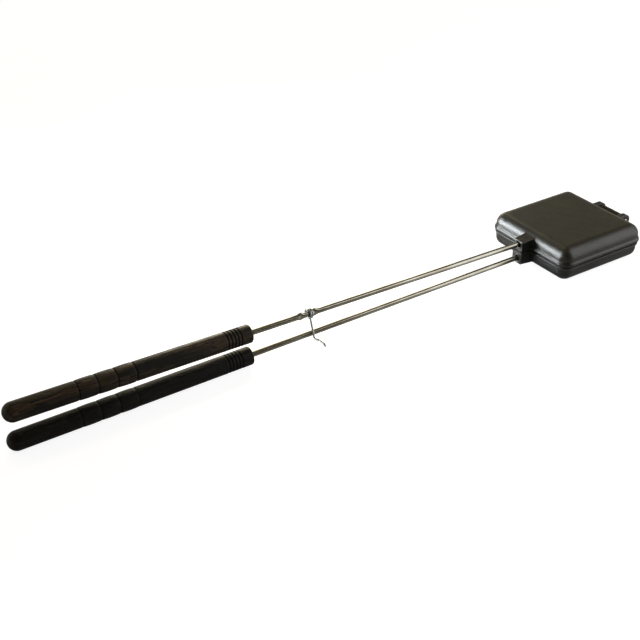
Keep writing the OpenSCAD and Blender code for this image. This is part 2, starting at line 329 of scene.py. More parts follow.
def along_rod(half, x, z):
    """Distance into the socket and height over the rod's middle."""
    rise = RISE[half]
    x, z = x - SOCKET_FACE, z - SEAM - ROD_UP[half]
    return x * math.cos(rise) - z * math.sin(rise), x * math.sin(rise) + z * math.cos(rise)


# %% Hinge parts
HOOK_R, HOOK_HOLE, HOOK_AT, HOOK_HALF = 7.2, 2.8, 18.0, 3.25
ARM_UP, ARM_HALF, ARM_REACH, MOUTH_L, LIP_X = 5.0, 2.2, 7.4, 8.2, 4.0
LUG_R, LUG_HALF, HINGE_ROUND = 5.4, 12.0, 0.9
LUG_SIDE = [(-14.8, 1.2), (-6.7, 1.2), (-5.4, -4.5), (5.4, -4.5), (4.9, -0.9), (-1.5, 10.4),
            (-14.8, 12.0)]


def hooks(x, h, y):
    """Two hooks over, round and under the pin. They are part of the upper pan."""
    x, h = x - HINGE_X, h - HINGE_UP
    ring = np.hypot(x, h)
    arm = both(np.abs(h - ARM_UP) - ARM_HALF, np.abs(x + ARM_REACH) - ARM_REACH)
    hook = both(either(ring - HOOK_R, arm), HOOK_HOLE - ring)
    mouth = both(both(x, -x - MOUTH_L), np.abs(h) - HOOK_HOLE)
    hook = both(both(hook, -mouth), -both(x + LIP_X, h - HOOK_HOLE), 0.5)
    return both(hook, np.abs(np.abs(y) - HOOK_AT) - HOOK_HALF, HINGE_ROUND)


def lug(x, h, y):
    """The block between the hooks. It is part of the lower pan, so h points down."""
    x = x - HINGE_X
    eye_ring = np.hypot(x, h + HINGE_UP)
    side = np.minimum(eye_ring - LUG_R, outline(LUG_SIDE, x, h))
    return both(side, np.abs(y) - LUG_HALF, HINGE_ROUND)


print("gap between the lug and each hook:", HOOK_AT - HOOK_HALF - LUG_HALF, "mm")


# %% The field of one pan
def pan(half, x, y, z):
    tall, face_round = TALL[half]
    rim_r, wall_r, rim_h = RIM[half]
    block_h = BLOCK[half]
    h = z - SEAM if half == "upper" else SEAM - z
    qx, qy = np.abs(x) - CORNER_CENTRE, np.abs(y) - CORNER_CENTRE
    u = np.hypot(np.maximum(qx, 0), np.maximum(qy, 0)) + np.minimum(np.maximum(qx, qy), 0)

    wall = (u - wall_r) * math.cos(WALL_DRAFT) + (h - rim_h) * math.sin(WALL_DRAFT)
    form = both(wall, h - tall, face_round)
    if half == "upper":
        flare = (u - rim_r) * math.cos(FLARE_LEAN) + (h - FLARE_H) * math.sin(FLARE_LEAN)
        form = either(form, both(both(u - rim_r, flare, 0.9), h - FLARE_TOP), 0.8)
    else:
        form = either(form, both(u - rim_r, h - rim_h, 0.8), 1.4)
        form = both(form, -both(REBATE_U - u, h - REBATE_H), 0.7)
    grown = (x - SOCKET_FACE) * BLOCK_GROWS
    block = both(np.abs(y) - BLOCK_HALF - grown, h - block_h - grown, 1.0)
    form = either(form, both(both(block, SOCKET_FACE - x, 0.6), x + BLOCK_END), 1.0)
    form = both(form, 0.05 - h, 1.2 if half == "upper" else 0.3)

    side = (u - CAVITY_U) * math.cos(CAVITY_DRAFT) + h * math.sin(CAVITY_DRAFT)
    form = both(form, -both(side, h - CAVITY_DEEP, CAVITY_ROUND), 0.5)
    bead = np.hypot(u - BEAD_U, h)
    if half == "upper":
        form = both(form, GROOVE_R - bead, 0.2)
        form = either(form, hooks(x, h, y), 1.2)
    else:
        form = either(form, bead - BEAD_R, 0.15)
        form = either(form, lug(x, h, y), 1.2)
        form = both(form, PIN_R - np.hypot(x - HINGE_X, h + HINGE_UP), 0.3)

    into, over = along_rod(half, x, z)
    away = np.hypot(y, over)
    mouth = (away - BORE_MOUTH + 0.6 * np.maximum(into, 0)) * 0.86
    form = both(form, -both(np.minimum(away - BORE_R, mouth), into - BORE_DEEP), 0.15)
    form = both(form, -both(np.hypot(x + CROSS_X, y) - CROSS_R, h - CROSS_DEEP))
    waves = np.sin(x / 3.1 + 2) * np.sin(y / 3.7) * np.sin(z / 2.9 + 1)
    return form + WAVE * waves * np.clip(h / 2, 0, 1)


print("iron over the upper hollow:", round(TALL["upper"][0] - CAVITY_DEEP, 2), "mm")


# %% [markdown]
# ## From field to mesh
# The field is sampled on a grid, and the volume library that comes with Blender draws the
# surface through it, with large faces where it is flat. Each point is then slid on to the
# true surface along the field's slope, and the slope itself becomes the point's normal. So
# the rounds shade softly, although the mesh is light.

# %% Pouring a pan
# Grid cell, and how far a large flat face may lie from the surface, in cells
CELL, LARGEST = 0.45, 0.012
GRID_X, GRID_Y = (-74.0, 78.4), 60.6
GRID_Z = {"upper": (13.0, 38.4), "lower": (-1.2, 29.8)}


def slope(half, points, step=0.02):
    x, y, z = points.T
    sides = [pan(half, x + step * a, y + step * b, z + step * c)
             - pan(half, x - step * a, y - step * b, z - step * c)
             for a, b, c in ((1, 0, 0), (0, 1, 0), (0, 0, 1))]
    rise = np.stack(sides, axis=1)
    return rise / np.maximum(np.linalg.norm(rise, axis=1), 1e-9)[:, None]


def pour(half, low, high):
    count = np.ceil((high - low) / CELL).astype(int) + 1
    x, y, z = (low[i] + CELL * np.arange(count[i]) for i in range(3))
    depth = pan(half, x[:, None, None], y[None, :, None], z[None, None, :])
    grid = openvdb.FloatGrid(3 * CELL)
    grid.copyFromArray(np.clip(depth, -3 * CELL, 3 * CELL).astype(np.float32))
    points, threes, fours = grid.convertToPolygons(0.0, LARGEST)
    points = points * CELL + low
    for _ in range(3):
        points -= slope(half, points) * pan(half, *points.T)[:, None]
    return points, threes.tolist() + fours.tolist(), slope(half, points)


print("grid cell:", CELL, "mm")

# %% [markdown]
# ## From points to an object, with wear and painted shade marks
# Where a hand or a fire has been shows most on edges and in corners, and shade gathers in
# hollows and at the seam. It could be painted by hand. The field already knows it: how it
# bends at a point tells an edge from a hollow. So that is worked out for each point and kept
# with the mesh, for the finish to read. Hollows and the seam line get painted shade from it.

# %% Mesh objects, wear marks and painted shade marks
# The painted shade line at the seam: its height on each pan, where it starts in u, and its fade
SEAM_PAINTED_SHADE_H, SEAM_PAINTED_SHADE_U, SEAM_PAINTED_SHADE_FADE = {"upper": 1.0, "lower": 2.3}, 10.6, 0.8


def new_piece(name, points, faces, material, normals=None, marks=None):
    """A mesh object from points in millimetres, with an optional normal and marks per point."""
    mesh = bpy.data.meshes.new(name)
    mesh.from_pydata([tuple(p) for p in np.asarray(points) * MM], [], faces)
    mesh.validate()
    mesh.shade_smooth()
    if normals is not None:
        mesh.normals_split_custom_set_from_vertices([tuple(n) for n in normals])
    for label, values in (marks or {}).items():
        mesh.attributes.new(label, "FLOAT", "POINT").data.foreach_set("value", values)
    mesh.materials.append(material)
    piece = bpy.data.objects.new(name, mesh)
    bpy.context.scene.collection.objects.link(piece)
    return piece


def wear_and_shade_marks(half, points, step=0.5):
    """How proud each point stands, from the bend of the field, and how near the painted shade line
    at the seam it is.
    """
    x, y, z = points.T
    here = pan(half, x, y, z)
    bend = -6 * here
    for a, b, c in ((1, 0, 0), (0, 1, 0), (0, 0, 1)):
        bend += pan(half, x + step * a, y + step * b, z + step * c)
        bend += pan(half, x - step * a, y - step * b, z - step * c)
    # Painted shade: a dark band along the outer edge of the seam, wider on the lower pan.
    across = np.hypot(np.maximum(np.abs(x) - CORNER_CENTRE, 0),
                      np.maximum(np.abs(y) - CORNER_CENTRE, 0))
    near = np.clip(1 - np.abs(z - SEAM) / SEAM_PAINTED_SHADE_H[half], 0, 1)
    near = near * np.clip((across - SEAM_PAINTED_SHADE_U) / SEAM_PAINTED_SHADE_FADE, 0, 1)
    return {"bend": bend / step ** 2, "seam": near}


def mean_turn(piece, normals):
    """1 if the first faces look the same way as the normals, and -1 if they look inwards."""
    mesh = piece.data
    facing = [f.normal.dot(Vector(normals[f.vertices[0]])) for f in mesh.polygons[:500]]
    return sum(1 if v > 0 else -1 for v in facing) / len(facing)


print("dark line at the seam:", SEAM_PAINTED_SHADE_H, "mm high")

# %% Both pans
for half, (bottom, top) in GRID_Z.items():
    points, faces, normals = pour(half, np.array([GRID_X[0], -GRID_Y, bottom]),
                                  np.array([GRID_X[1], GRID_Y, top]))
    piece = new_piece(f"{half}_pan", points, faces, iron, normals, wear_and_shade_marks(half, points))
    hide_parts(f"{half}_casting")
    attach(piece, half)
    print(piece.name, len(points), "points, faces outwards:", mean_turn(piece, normals))

# %% [markdown]
# ## Finishes for the metal parts
# The rods are drawn steel with a thin warm plating. Drawing leaves fine lines along the rod,
# so the noise is stretched along X. The latch and the pins are bright zinc.

# %% Material: plated steel
steel, tree, shader, place = new_material("plated_steel")
shader.inputs["Metallic"].default_value = 1.0
along = add(tree, "ShaderNodeMapping", {"Vector": place, "Scale": (6, 900, 900)}).outputs[0]
draw_lines = noise(tree, along, 2.0, detail=3.0, roughness=0.6)
stains = noise(tree, place, 30.0, detail=3.0)
tone = mix(tree, ramp(tree, stains, 0.4, 0.65), rgb(168, 166, 157), rgb(142, 138, 126))
tree.links.new(tone, shader.inputs["Base Color"])
tree.links.new(ramp(tree, draw_lines, 0.3, 0.7, 0.15, 0.24), shader.inputs["Roughness"])
bump = add(tree, "ShaderNodeBump", {"Height": draw_lines, "Strength": 0.1,
                                    "Distance": 0.00002})
tree.links.new(bump.outputs["Normal"], shader.inputs["Normal"])
print("plated steel:", len(tree.nodes), "nodes")

# %% Material: zinc wire
zinc, tree, shader, place = new_material("zinc_wire")
shader.inputs["Metallic"].default_value = 1.0
spangle = noise(tree, place, 700.0)
tree.links.new(mix(tree, spangle, rgb(176, 181, 187), rgb(214, 218, 222)),
               shader.inputs["Base Color"])
tree.links.new(ramp(tree, spangle, 0.3, 0.7, 0.18, 0.32), shader.inputs["Roughness"])
print("zinc wire:", len(tree.nodes), "nodes")

# %% [markdown]
# ## Rods
# Each rod is a straight bar. The upper one has two places where a press pinched it: it is
# narrower there from side to side and stands out above and below, so the latch can't slide
# away. Rings of points along a line make the bar, and the pinch is a change of each ring.

# %% Rings to a closed surface
def skin_rings(rings):
    """Joins rings of the same number of points, and closes both ends with a flat face."""
    around = len(rings[0])
    faces = []
    for n in range(len(rings) - 1):
        for k in range(around):
            a, b = n * around + k, n * around + (k + 1) % around
            faces.append((a, a + around, b + around, b))
    last = (len(rings) - 1) * around
    faces += [list(range(around)), list(range(last + around - 1, last - 1, -1))]
    return [p for ring in rings for p in ring], faces


def at_socket(half, points):
    """From the socket's own axes, X into the socket, to the object's, in millimetres."""
    move = (Matrix.Translation((SOCKET_FACE, 0, SEAM + ROD_UP[half]))
            @ Matrix.Rotation(RISE[half], 4, "Y"))
    return [move @ Vector(p) for p in points]


# %% Rod sizes
ROD_R, ROD_FREE, ROD_HIDDEN, ROD_SEAT = 2.78, 334.0, 20.0, 15.0
PINCHES, PINCH_HALF, EAR = (261.6, 277.6), 3.2, 1.5
PINCH_IN, PINCH_FLAT, ROD_SIDES, ROD_STEP = 0.45, 0.45, 40, 20.0


def pinched(s):
    """How far the rod is pinched at a distance s from the socket, from 0 to 1."""
    return max(max(0, 1 - ((s - at) / PINCH_HALF) ** 2) ** 1.2 for at in PINCHES)


for half in ("upper", "lower"):
    stops = {-ROD_SEAT, 0.0, ROD_FREE, ROD_FREE + ROD_HIDDEN}
    stops |= set(np.arange(ROD_STEP / 2, ROD_FREE, ROD_STEP))
    if half == "upper":
        for at in PINCHES:
            stops |= set(at + PINCH_HALF * np.linspace(-1, 1, 17))
    rings = []
    for s in sorted(stops):
        press = pinched(s) if half == "upper" else 0
        ring = []
        for angle in np.linspace(0, 2 * math.pi, ROD_SIDES, endpoint=False):
            side, top = math.cos(angle), math.sin(angle)
            wide = (ROD_R - PINCH_IN * press) * (1 - PINCH_FLAT * press * top * top)
            ring.append((-s, wide * side, (ROD_R + EAR * press) * top))
        rings.append(at_socket(half, ring))
    points, faces = skin_rings(rings)
    rod = new_piece(f"{half}_steel_rod", points, faces, steel)
    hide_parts(f"{half}_rod")
    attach(rod, half)
    print(rod.name, len(rings), "rings")

# %% [markdown]
# ## Latch
# One piece of wire: it winds round the upper rod, drops to the lower one, turns under it and
# ends in a bent thumb tab. A tiny walker draws the centre line, told to go on or to turn, and
# a Geometry Nodes tree wraps the wire round it, because that follows a path by its nature.

# %% Wire sizes
WIRE_R, COIL_R, COIL_TURNS, COIL_PITCH = 1.0, 4.08, 2.4, 2.06
LATCH_AT, LATCH_REST = 265.0, math.radians(-21.526)
SHANK, CATCH, TAB, TIP = 24.41, 6.2, 6.5, 2.0
CATCH_BEND, TAB_BEND, TIP_BEND = (90, 2.5), (-20, 3.0), (-40, 2.5)


def walk(start, steps):
    """Centre line in Y and Z, from a start, downwards. Each step is (degrees, radius or length)."""
    y, z = start
    heading, line = 0.0, [start]
    for degrees, size in steps:
        if not degrees:
            y, z = y - size * math.sin(heading), z - size * math.cos(heading)
            line.append((y, z))
            continue
        for _ in range(8):
            part = math.radians(degrees) / 8
            heading += part / 2
            length = 2 * size * math.sin(abs(part) / 2)
            y, z = y - length * math.sin(heading), z - length * math.cos(heading)
            heading += part / 2
            line.append((y, z))
    return line


coil = [(-turn * COIL_PITCH, COIL_R * math.cos(turn * 2 * math.pi),
         COIL_R * math.sin(turn * 2 * math.pi))
        for turn in np.linspace(COIL_TURNS, 0, 90)]
drop = walk((COIL_R, 0.0), [(0, SHANK), CATCH_BEND, (0, CATCH), TAB_BEND, (0, TAB), TIP_BEND,
                            (0, TIP)])
swing = Matrix.Translation((-LATCH_AT, 0, 0)) @ Matrix.Rotation(LATCH_REST, 4, "X")
path = [swing @ Vector(p) for p in coil + [(0, y, z) for y, z in drop[1:]]]
path = at_socket("upper", path)
print("latch wire:", round(sum((b - a).length for a, b in zip(path, path[1:]))), "mm long")

# %% [markdown]
# ## Running a Geometry Nodes tree
# A tree is a recipe with named sizes. It could stay on the object as a modifier. Here it
# runs once, on a carrier that is then thrown away, and leaves a plain mesh, which any other
# program can read.

# %% Trees: how they are made and run
def new_tree(name, inputs):
    tree = bpy.data.node_groups.new(name, "GeometryNodeTree")
    tree.is_modifier = True
    kinds = [("Geometry", "NodeSocketGeometry", None), *inputs]
    for label, kind, value in kinds:
        socket = tree.interface.new_socket(label, in_out="INPUT", socket_type=kind)
        if value is not None:
            socket.default_value = value
    tree.interface.new_socket("Geometry", in_out="OUTPUT", socket_type="NodeSocketGeometry")
    return tree, tree.nodes.new("NodeGroupInput").outputs, tree.nodes.new("NodeGroupOutput")


def run_tree(name, tree, material, mesh=None, **sizes):
    """Runs a tree on an object with named sizes and returns a plain mesh object."""
    carrier = bpy.data.objects.new(name + "_carrier", mesh or bpy.data.meshes.new(name))
    bpy.context.scene.collection.objects.link(carrier)
    modifier = carrier.modifiers.new("tree", "NODES")
    modifier.node_group = tree
    sockets = {s.name: s.identifier for s in tree.interface.items_tree if s.in_out == "INPUT"}
    for label, value in {**sizes, "Finish": material}.items():
        modifier[sockets[label.replace("_", " ")]] = value
    depsgraph = bpy.context.evaluated_depsgraph_get()
    made = bpy.data.meshes.new_from_object(carrier.evaluated_get(depsgraph))
    made.name = name
    bpy.data.objects.remove(carrier)
    piece = bpy.data.objects.new(name, made)
    bpy.context.scene.collection.objects.link(piece)
    print(name, len(made.vertices), "points,", len(made.polygons), "faces")
    return piece


print("tree helpers: new_tree, run_tree")

# %% [markdown]
# ## Wire round a path
# Bending a straight tube by hand would pinch it at each bend. Sweeping a circle along the
# centre line keeps the wire round all the way, and closes its two cut ends.

# %% Tree: wire round a path
wire_tree, given, out = new_tree("wire_round_a_path", [
    ("Wire radius", FLOAT, 0.001), ("Sides", "NodeSocketInt", 20),
    ("Finish", "NodeSocketMaterial", None)])
line = add(wire_tree, "GeometryNodeMeshToCurve", {"Mesh": given["Geometry"]})
ring = add(wire_tree, "GeometryNodeCurvePrimitiveCircle",
           {"Resolution": given["Sides"], "Radius": given["Wire radius"]})
tube = add(wire_tree, "GeometryNodeCurveToMesh",
           {"Curve": line.outputs[0], "Profile Curve": ring.outputs[0], "Fill Caps": True})
smooth = add(wire_tree, "GeometryNodeSetShadeSmooth", {"Geometry": tube.outputs[0]})
real = add(wire_tree, "GeometryNodeRealizeInstances", {"Geometry": smooth.outputs[0]})
done = add(wire_tree, "GeometryNodeSetMaterial",
           {"Geometry": real.outputs[0], "Material": given["Finish"]})
wire_tree.links.new(done.outputs[0], out.inputs[0])
print("wire tree:", len(wire_tree.nodes), "nodes")

# %% The latch
centre_line = bpy.data.meshes.new("centre_line")
centre_line.from_pydata([p * MM for p in path], [(n, n + 1) for n in range(len(path) - 1)], [])
latch = run_tree("wire_latch", wire_tree, zinc, centre_line, Wire_radius=WIRE_R * MM)
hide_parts("latch")
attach(latch, "latch")

# %% [markdown]
# ## Shared effect: stained open grain
# The handles are a ring-porous wood. In cross-section its growth rings are bands about 2 mm
# apart, and turning cuts through them, so long pointed streaks show along the handle. Each
# band starts with open pores, which show as short dark scratches along the grain. The group
# rebuilds that: distance from a pith line that runs beside the handle gives the rings, and
# stretched noise gives the fibres and pores.

# %% Group: open grain
open_grain, given, out = new_group(
    "open_grain",
    [("Along handle", VECTOR, None), ("Ring width", FLOAT, 0.0024), ("Shift", FLOAT, 0.0)],
    [("Rings", FLOAT), ("Pores", FLOAT), ("Fibres", FLOAT), ("Patches", FLOAT)])
shifted = add(open_grain, "ShaderNodeCombineXYZ", {"X": given["Shift"]}).outputs[0]
spot = add(open_grain, "ShaderNodeVectorMath", {0: given["Along handle"], 1: shifted},
           operation="ADD").outputs[0]


def stretched(along, across):
    """Coordinates for noise that is drawn out along X."""
    return add(open_grain, "ShaderNodeVectorMath", {0: spot, 1: (along, across, across)},
               operation="MULTIPLY").outputs[0]


axes = add(open_grain, "ShaderNodeSeparateXYZ", {0: spot}).outputs
PITH_Y, PITH_Z = 0.021, -0.017
from_y = maths(open_grain, "SUBTRACT", axes["Y"], PITH_Y)
from_z = maths(open_grain, "SUBTRACT", axes["Z"], PITH_Z)
squares = maths(open_grain, "MULTIPLY_ADD", from_y, from_y,
                maths(open_grain, "MULTIPLY", from_z, from_z))
radius = maths(open_grain, "SQRT", squares)
drift = noise(open_grain, stretched(9, 40), 1.0, detail=2.0)
wander = maths(open_grain, "MULTIPLY_ADD", drift, 0.010, radius)
turns = maths(open_grain, "DIVIDE", wander, given["Ring width"])
in_ring = maths(open_grain, "FRACT", turns)
late = ramp(open_grain, in_ring, 0.15, 0.95, smooth=True)
open_grain.links.new(late, out.inputs["Rings"])
pore_noise = noise(open_grain, stretched(110, 950), 1.0, detail=2.0)
pore_room = ramp(open_grain, in_ring, 0.1, 0.6, 0.46, 0.6)
pores = add(open_grain, "ShaderNodeMapRange",
            {"Value": pore_noise, "From Min": pore_room,
             "From Max": maths(open_grain, "ADD", pore_room, 0.1)})
open_grain.links.new(pores.outputs["Result"], out.inputs["Pores"])
open_grain.links.new(noise(open_grain, stretched(35, 700), 1.0, detail=4.0),
                     out.inputs["Fibres"])
open_grain.links.new(noise(open_grain, stretched(16, 75), 1.0, detail=4.0, roughness=0.6),
                     out.inputs["Patches"])
print("open grain:", len(open_grain.nodes), "nodes")

# %% [markdown]
# ## Finish: two stained woods
# The upper handle is dark brown with lighter streaks, and the lower one is stained almost
# black. Both have a thin coat of lacquer, which fills the pores unevenly, so the gloss comes
# and goes. The turned grooves were burnt black with a wire. How deep a point lies in a groove
# comes with the mesh, as an attribute named burn.

# %% Materials: stained woods
STAINS = {
    "upper": {"name": "brown_wood", "deep": rgb(14, 11, 7), "middle": rgb(36, 28, 19),
              "pale": rgb(80, 62, 45), "shift": 0.0, "char": 0.6, "lacquer": 0.6, "gloss": 0.35},
    "lower": {"name": "dark_wood", "deep": rgb(9, 8, 7), "middle": rgb(17, 15, 12),
              "pale": rgb(34, 30, 24), "shift": 0.37, "char": 0.35, "lacquer": 0.25,
              "gloss": 0.28},
}
wood = {}
for half, stain in STAINS.items():
    material, tree, shader, place = new_material("stained_" + stain["name"])
    level = add(tree, "ShaderNodeMapping",
                {"Vector": place, "Rotation": (0, -RISE[half], 0)}).outputs[0]
    middle_line = (SEAM + ROD_UP[half]) * MM
    centred = add(tree, "ShaderNodeVectorMath", {0: level, 1: (0, 0, middle_line)},
                  operation="SUBTRACT").outputs[0]
    grain = put(tree, open_grain, Along_handle=centred, Ring_width=0.0024, Shift=stain["shift"])
    colour = mix(tree, grain["Rings"], stain["pale"], stain["middle"])
    shown = ramp(tree, grain["Patches"], 0.36, 0.62, smooth=True)
    colour = mix(tree, shown, stain["deep"], colour)
    fibres = ramp(tree, grain["Fibres"], 0.3, 0.7, 0.5, 1.6)
    colour = mix(tree, 1.0, colour, add(tree, "ShaderNodeCombineXYZ",
                                        {0: fibres, 1: fibres, 2: fibres}).outputs[0], "MULTIPLY")
    colour = mix(tree, grain["Pores"], colour, rgb(9, 8, 7))
    burn = add(tree, "ShaderNodeAttribute", attribute_name="burn").outputs["Fac"]
    burnt = ramp(tree, burn, 0.0, 0.5)
    char = maths(tree, "MULTIPLY", burnt, stain["char"])
    colour = mix(tree, char, colour, rgb(10, 8, 7))
    tree.links.new(colour, shader.inputs["Base Color"])
    dull = ramp(tree, grain["Patches"], 0.35, 0.65, 0.5, 0.38)
    dull = maths(tree, "MULTIPLY_ADD", grain["Pores"], 0.2, dull)
    dull = maths(tree, "MULTIPLY_ADD", burnt, 0.3, dull)
    tree.links.new(dull, shader.inputs["Roughness"])
    lacquer = ramp(tree, grain["Fibres"], 0.45, 0.62, 0.05, stain["lacquer"])
    lacquer = maths(tree, "MULTIPLY", lacquer, ramp(tree, burnt, 0.0, 0.5, 1.0, 0.0))
    tree.links.new(lacquer, shader.inputs["Coat Weight"])
    shader.inputs["Coat Roughness"].default_value = 0.16
    shader.inputs["Specular IOR Level"].default_value = stain["gloss"]
    relief = maths(tree, "MULTIPLY_ADD", grain["Pores"], -1.0,
                   maths(tree, "MULTIPLY", grain["Fibres"], 0.6))
    bump = add(tree, "ShaderNodeBump", {"Height": relief, "Strength": 0.9,
                                        "Distance": 0.0003})
    tree.links.new(bump.outputs["Normal"], shader.inputs["Normal"])
    wood[half] = material
    print(material.name, len(tree.nodes), "nodes")

# %% [markdown]
# ## Handles, turned by a Geometry Nodes lathe
# A turned handle is one radius for each place along it. So the tree takes a flat grid, reads
# one side of it as the place along the handle and the other as the turn, and works the radius
# out: the blunt front, five fine grooves, four wide rings with soft swells between them, and
# the round far end. Grain that stands proud is added last, from stretched noise. The first
# two rings of the grid turn inwards, into the bore that the rod comes out of.

# %% Lathe: place along and body
lathe, given, out = new_tree("turned_handle", [
    ("Length", FLOAT, 0.238), ("Radius", FLOAT, 0.009), ("Front round", FLOAT, 0.0014),
    ("Fine at", FLOAT, 0.0127), ("Fine pitch", FLOAT, 0.00345), ("Fine depth", FLOAT, 0.0007),
    ("Rings at", FLOAT, 0.1182), ("Ring pitch", FLOAT, 0.01805), ("Ring depth", FLOAT, 0.0003),
    ("Swell", FLOAT, 0.0003), ("Grain height", FLOAT, 0.00012), ("Grain shift", FLOAT, 0.0),
    ("Bore radius", FLOAT, 0.0029), ("Bore depth", FLOAT, 0.0008),
    ("Finish", "NodeSocketMaterial", None)])
RINGS, AROUND = 800, 88


def calc(operation, a, b=0.5, c=0.5, clamp=False):
    return maths(lathe, operation, a, b, c, clamp)


grid = add(lathe, "GeometryNodeMeshGrid",
           {"Size X": 1.0, "Size Y": 1.0, "Vertices X": RINGS, "Vertices Y": AROUND + 1})
here = add(lathe, "ShaderNodeSeparateXYZ",
           {0: add(lathe, "GeometryNodeInputPosition").outputs[0]}).outputs
ring_number = calc("ROUND", calc("MULTIPLY", calc("ADD", here[0], 0.5), RINGS - 1.0))
turn_angle = calc("MULTIPLY", calc("ADD", here[1], 0.5), 2 * math.pi)
straight = calc("SUBTRACT", given["Length"], given["Radius"])
surface_length = calc("MULTIPLY_ADD", given["Radius"], math.pi / 2, straight)
step = calc("DIVIDE", surface_length, RINGS - 3.0)
s = calc("MULTIPLY", calc("MAXIMUM", calc("SUBTRACT", ring_number, 2.0), 0.0), step)
past = calc("DIVIDE", calc("MAXIMUM", calc("SUBTRACT", s, straight), 0.0), given["Radius"])
place_along = calc("MULTIPLY_ADD", given["Radius"], calc("SINE", past),
                   calc("MINIMUM", s, straight))
body_radius = calc("MULTIPLY", given["Radius"], calc("COSINE", past))
edge = calc("MAXIMUM", calc("SUBTRACT", given["Front round"], s), 0.0)
inner = calc("SUBTRACT", calc("POWER", given["Front round"], 2.0), calc("POWER", edge, 2.0))
rounding = calc("SUBTRACT", given["Front round"], calc("SQRT", inner))
print("lathe body:", len(lathe.nodes), "nodes")

# %% [markdown]
# ### Grooves and swells
# A turner cuts five fine grooves at the front with the corner of a tool, and burns four wide
# rings with a wire. Between the rings the wood swells a little, for the grip. One function
# finds the nearest groove of a set, so each set costs the same however many it has.

# %% Lathe: grooves and swells
FINE_LAST, FINE_HALF = 4.0, 0.0009
RING_LAST, RING_HALF = 3.0, 0.0011


def groove(first, pitch, last_number, half_width):
    """0 to 1 across the nearest of several equal grooves, round at the bottom."""
    number = calc("ROUND", calc("DIVIDE", calc("SUBTRACT", s, first), pitch))
    number = calc("MINIMUM", calc("MAXIMUM", number, 0.0), last_number)
    offset = calc("SUBTRACT", s, calc("MULTIPLY_ADD", number, pitch, first))
    share = calc("POWER", calc("DIVIDE", offset, half_width), 2.0)
    return calc("MAXIMUM", calc("SUBTRACT", 1.0, share), 0.0)


fine = groove(given["Fine at"], given["Fine pitch"], FINE_LAST, FINE_HALF)
wide = groove(given["Rings at"], given["Ring pitch"], RING_LAST, RING_HALF)
cut = calc("MULTIPLY_ADD", fine, given["Fine depth"], calc("MULTIPLY", wide, given["Ring depth"]))
along_rings = calc("DIVIDE", calc("SUBTRACT", s, given["Rings at"]), given["Ring pitch"])
between = calc("MULTIPLY", calc("GREATER_THAN", along_rings, 0.0),
               calc("LESS_THAN", along_rings, RING_LAST))
arch = calc("FRACT", along_rings)
arch = calc("MULTIPLY", calc("MULTIPLY", arch, calc("SUBTRACT", 1.0, arch)), 4.0)
bulge = calc("MULTIPLY", calc("MULTIPLY", arch, between), given["Swell"])
radius = calc("SUBTRACT", calc("SUBTRACT", calc("ADD", body_radius, bulge), cut), rounding)
print("with grooves and swells:", len(lathe.nodes), "nodes")

# %% [markdown]
# ### Proud grain, bore and mesh
# The grain stands proud by a tenth of a millimetre, as real displacement, so that it shows
# on the outline too. How deep a point lies in a groove is stored for the finish to burn. The
# grid's two long sides then meet and are merged, and its far end closes at a pole.

# %% Lathe: grain, bore and mesh
grain_place = add(lathe, "ShaderNodeCombineXYZ",
                  {0: calc("MULTIPLY_ADD", s, 28.0, given["Grain shift"]),
                   1: calc("MULTIPLY", calc("COSINE", turn_angle), 3.4),
                   2: calc("MULTIPLY", calc("SINE", turn_angle), 3.4)}).outputs[0]
coarse = noise(lathe, grain_place, 1.0, detail=4.0, roughness=0.6)
slow = noise(lathe, grain_place, 0.25, detail=1.0)
proud = calc("MULTIPLY", calc("SUBTRACT", calc("ADD", coarse, slow), 1.0), given["Grain height"])
proud = calc("MULTIPLY", proud, calc("DIVIDE", body_radius, given["Radius"]))
radius = calc("MAXIMUM", calc("ADD", radius, proud), 0.0)

in_bore = calc("LESS_THAN", ring_number, 1.5)
at_bore_edge = calc("MULTIPLY", calc("GREATER_THAN", ring_number, 0.5), given["Bore radius"])
radius = calc("ADD", calc("MULTIPLY", radius, calc("SUBTRACT", 1.0, in_bore)),
              calc("MULTIPLY", at_bore_edge, in_bore))
place_along = calc("MULTIPLY_ADD", given["Bore depth"], in_bore, place_along)
spun = add(lathe, "ShaderNodeCombineXYZ",
           {0: calc("MULTIPLY", place_along, -1.0),
            1: calc("MULTIPLY", radius, calc("COSINE", turn_angle)),
            2: calc("MULTIPLY", radius, calc("SINE", turn_angle))}).outputs[0]
burn_mark = add(lathe, "GeometryNodeStoreNamedAttribute",
                {"Geometry": grid.outputs["Mesh"], "Name": "burn",
                 "Value": calc("MAXIMUM", fine, wide)}, data_type="FLOAT", domain="POINT")
turned = add(lathe, "GeometryNodeSetPosition",
             {"Geometry": burn_mark.outputs[0], "Position": spun})
closed = add(lathe, "GeometryNodeMergeByDistance", {"Geometry": turned.outputs[0],
                                                    "Distance": 0.000002})
smooth = add(lathe, "GeometryNodeSetShadeSmooth", {"Geometry": closed.outputs[0]})
real = add(lathe, "GeometryNodeRealizeInstances", {"Geometry": smooth.outputs[0]})
done = add(lathe, "GeometryNodeSetMaterial",
           {"Geometry": real.outputs[0], "Material": given["Finish"]})
lathe.links.new(done.outputs[0], out.inputs[0])
print("whole lathe:", len(lathe.nodes), "nodes")

